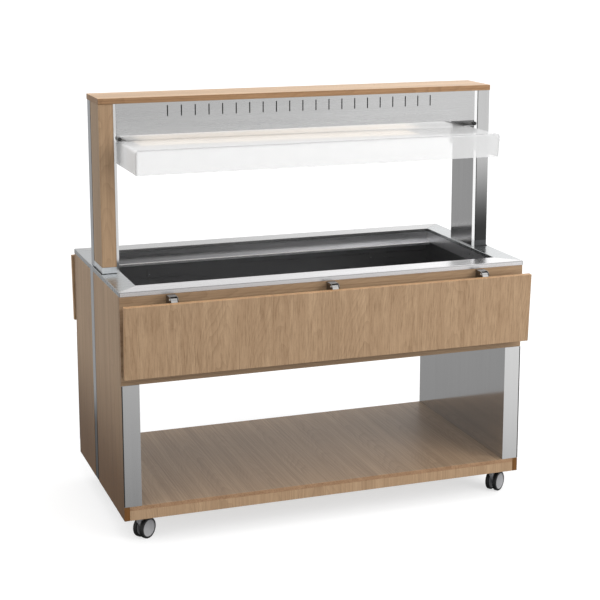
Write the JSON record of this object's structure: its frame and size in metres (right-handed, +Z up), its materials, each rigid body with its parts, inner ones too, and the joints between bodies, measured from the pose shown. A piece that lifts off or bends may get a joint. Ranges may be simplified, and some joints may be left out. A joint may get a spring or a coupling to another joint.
{
  "type": "steam table unit",
  "caption": "Heated buffet trolley on castors: hot well in a steel counter, lit canopy with acrylic guard, lower shelf, wooden tray slides that fold down.",
  "frame": {"origin": "on the floor, under the middle of the unit", "axes": "+Z up; +X along the counter, towards the end with the control panel; -Y the guest side, +Y the attendant side"},
  "size_m": [1.5, 0.9068, 1.522],
  "materials": {
    "oak_veneer": "satin oak veneer, grain upright on the panels",
    "brushed_steel": "brushed stainless sheet",
    "bright_steel": "bright polished stainless sheet",
    "tank_steel": "deep-drawn stainless, dull",
    "column_steel": "satin steel tube",
    "frame_steel": "grey coated steel",
    "mineral_wool": "fibrous",
    "element_sheath": "oxidised sheath",
    "opal_diffuser": "opal",
    "lamp_glass": "frosted tube",
    "clear_acrylic": "clear polished",
    "black_plastic": "moulded",
    "grey_nylon": "moulded",
    "tyre_rubber": "two-part wheel: black tread, grey disc",
    "valve_brass": "cast and turned",
    "lever_red": "dip-coated"
  },
  "bodies": {
    "cabinet": {"counter_top": "brushed_steel", "well_tank": "tank_steel", "tank_insulation": "mineral_wool", "heating_element": "element_sheath", "belly_pan": "brushed_steel", "apron_front": "oak_veneer", "apron_rear": "oak_veneer", "left_end_board_front": "oak_veneer", "left_end_board_rear": "oak_veneer", "right_end_board_front": "oak_veneer", "right_end_board_rear": "oak_veneer", "left_end_liner": "bright_steel", "right_end_liner": "bright_steel", "base_shelf": "oak_veneer", "base_fascia_front": "oak_veneer", "base_fascia_rear": "oak_veneer", "base_frame": "frame_steel", "left_column": "column_steel", "right_column": "column_steel", "left_post_cladding": "oak_veneer", "right_post_cladding": "bright_steel", "left_post_liner": "bright_steel", "right_post_liner": "bright_steel", "top_board": "oak_veneer", "canopy_fascia_front": "brushed_steel", "canopy_fascia_rear": "brushed_steel", "lamp_tray": "brushed_steel", "lamp_diffuser": "opal_diffuser", "heat_lamp": "lamp_glass", "guard_hood": "clear_acrylic", "guard_front_pane": "clear_acrylic", "guard_bracket_left": "brushed_steel", "guard_bracket_right": "brushed_steel", "front_hinge_rail": "brushed_steel", "rear_hinge_rail": "brushed_steel", "control_panel": "brushed_steel", "drain_valve": "valve_brass", "cable_gland": "black_plastic"},
    "front_tray": {"front_tray_board": "oak_veneer", "front_tray_rail": "brushed_steel"},
    "rear_tray": {"rear_tray_board": "oak_veneer", "rear_tray_rail": "brushed_steel"},
    "thermostat_knob": {"thermostat_knob": "black_plastic"},
    "power_switch": {"power_switch": "black_plastic"},
    "light_switch": {"light_switch": "black_plastic"},
    "drain_lever": {"drain_lever": "lever_red"},
    "guard_knob_left": {"guard_knob_left": "black_plastic"},
    "guard_knob_right": {"guard_knob_right": "black_plastic"},
    "castor_front_left": {"castor_front_left_housing": "grey_nylon"},
    "castor_front_left_wheel_a": {"castor_front_left_wheel_a": "tyre_rubber"},
    "castor_front_left_wheel_b": {"castor_front_left_wheel_b": "tyre_rubber"},
    "castor_front_right": {"castor_front_right_housing": "grey_nylon"},
    "castor_front_right_wheel_a": {"castor_front_right_wheel_a": "tyre_rubber"},
    "castor_front_right_wheel_b": {"castor_front_right_wheel_b": "tyre_rubber"},
    "castor_rear_left": {"castor_rear_left_housing": "grey_nylon"},
    "castor_rear_left_wheel_a": {"castor_rear_left_wheel_a": "tyre_rubber"},
    "castor_rear_left_wheel_b": {"castor_rear_left_wheel_b": "tyre_rubber"},
    "castor_rear_right": {"castor_rear_right_housing": "grey_nylon"},
    "castor_rear_right_wheel_a": {"castor_rear_right_wheel_a": "tyre_rubber"},
    "castor_rear_right_wheel_b": {"castor_rear_right_wheel_b": "tyre_rubber"}
  },
  "joints": [
    {"name": "front_tray_fold", "type": "hinge", "parent": "cabinet", "child": "front_tray", "pos_m": [0, -0.4235, 0.876], "axis": [-1, 0, 0], "range_deg": [0, 93.5]},
    {"name": "rear_tray_fold", "type": "hinge", "parent": "cabinet", "child": "rear_tray", "pos_m": [0, 0.4235, 0.876], "axis": [1, 0, 0], "range_deg": [0, 93.5]},
    {"name": "thermostat_turn", "type": "hinge", "parent": "cabinet", "child": "thermostat_knob", "pos_m": [0.7307, 0.215, 0.72], "axis": [-1, 0, 0], "range_deg": [0, 270]},
    {"name": "power_switch_rock", "type": "hinge", "parent": "cabinet", "child": "power_switch", "pos_m": [0.73, 0.15, 0.745], "axis": [0, 1, 0], "range_deg": [0, 16]},
    {"name": "light_switch_rock", "type": "hinge", "parent": "cabinet", "child": "light_switch", "pos_m": [0.73, 0.15, 0.695], "axis": [0, 1, 0], "range_deg": [0, 16]},
    {"name": "drain_lever_turn", "type": "hinge", "parent": "cabinet", "child": "drain_lever", "pos_m": [0.45, 0.2275, 0.5615], "axis": [0, -1, 0], "range_deg": [0, 90]},
    {"name": "guard_knob_left_turn", "type": "hinge", "parent": "cabinet", "child": "guard_knob_left", "pos_m": [-0.6755, -0.105, 1.3808], "axis": [0, -1, 0], "continuous": true},
    {"name": "guard_knob_right_turn", "type": "hinge", "parent": "cabinet", "child": "guard_knob_right", "pos_m": [0.6755, -0.105, 1.3808], "axis": [0, -1, 0], "continuous": true},
    {"name": "castor_front_left_swivel", "type": "hinge", "parent": "cabinet", "child": "castor_front_left", "pos_m": [-0.682, -0.31, 0.08], "axis": [0, 0, 1], "continuous": true},
    {"name": "castor_front_left_wheel_a_spin", "type": "hinge", "parent": "castor_front_left", "child": "castor_front_left_wheel_a", "pos_m": [-0.66137, -0.29501, 0.03718], "axis": [-0.5878, 0.809, 0], "continuous": true},
    {"name": "castor_front_left_wheel_b_spin", "type": "hinge", "parent": "castor_front_left", "child": "castor_front_left_wheel_b", "pos_m": [-0.66137, -0.29501, 0.03718], "axis": [-0.5878, 0.809, 0], "continuous": true},
    {"name": "castor_front_right_swivel", "type": "hinge", "parent": "cabinet", "child": "castor_front_right", "pos_m": [0.682, -0.31, 0.08], "axis": [0, 0, 1], "continuous": true},
    {"name": "castor_front_right_wheel_a_spin", "type": "hinge", "parent": "castor_front_right", "child": "castor_front_right_wheel_a", "pos_m": [0.70263, -0.29501, 0.03718], "axis": [-0.5878, 0.809, 0], "continuous": true},
    {"name": "castor_front_right_wheel_b_spin", "type": "hinge", "parent": "castor_front_right", "child": "castor_front_right_wheel_b", "pos_m": [0.70263, -0.29501, 0.03718], "axis": [-0.5878, 0.809, 0], "continuous": true},
    {"name": "castor_rear_left_swivel", "type": "hinge", "parent": "cabinet", "child": "castor_rear_left", "pos_m": [-0.682, 0.31, 0.08], "axis": [0, 0, 1], "continuous": true},
    {"name": "castor_rear_left_wheel_a_spin", "type": "hinge", "parent": "castor_rear_left", "child": "castor_rear_left_wheel_a", "pos_m": [-0.65804, 0.31872, 0.03718], "axis": [-0.342, 0.9397, 0], "continuous": true},
    {"name": "castor_rear_left_wheel_b_spin", "type": "hinge", "parent": "castor_rear_left", "child": "castor_rear_left_wheel_b", "pos_m": [-0.65804, 0.31872, 0.03718], "axis": [-0.342, 0.9397, 0], "continuous": true},
    {"name": "castor_rear_right_swivel", "type": "hinge", "parent": "cabinet", "child": "castor_rear_right", "pos_m": [0.682, 0.31, 0.08], "axis": [0, 0, 1], "continuous": true},
    {"name": "castor_rear_right_wheel_a_spin", "type": "hinge", "parent": "castor_rear_right", "child": "castor_rear_right_wheel_a", "pos_m": [0.70596, 0.31872, 0.03718], "axis": [-0.342, 0.9397, 0], "continuous": true},
    {"name": "castor_rear_right_wheel_b_spin", "type": "hinge", "parent": "castor_rear_right", "child": "castor_rear_right_wheel_b", "pos_m": [0.70596, 0.31872, 0.03718], "axis": [-0.342, 0.9397, 0], "continuous": true}
  ]
}
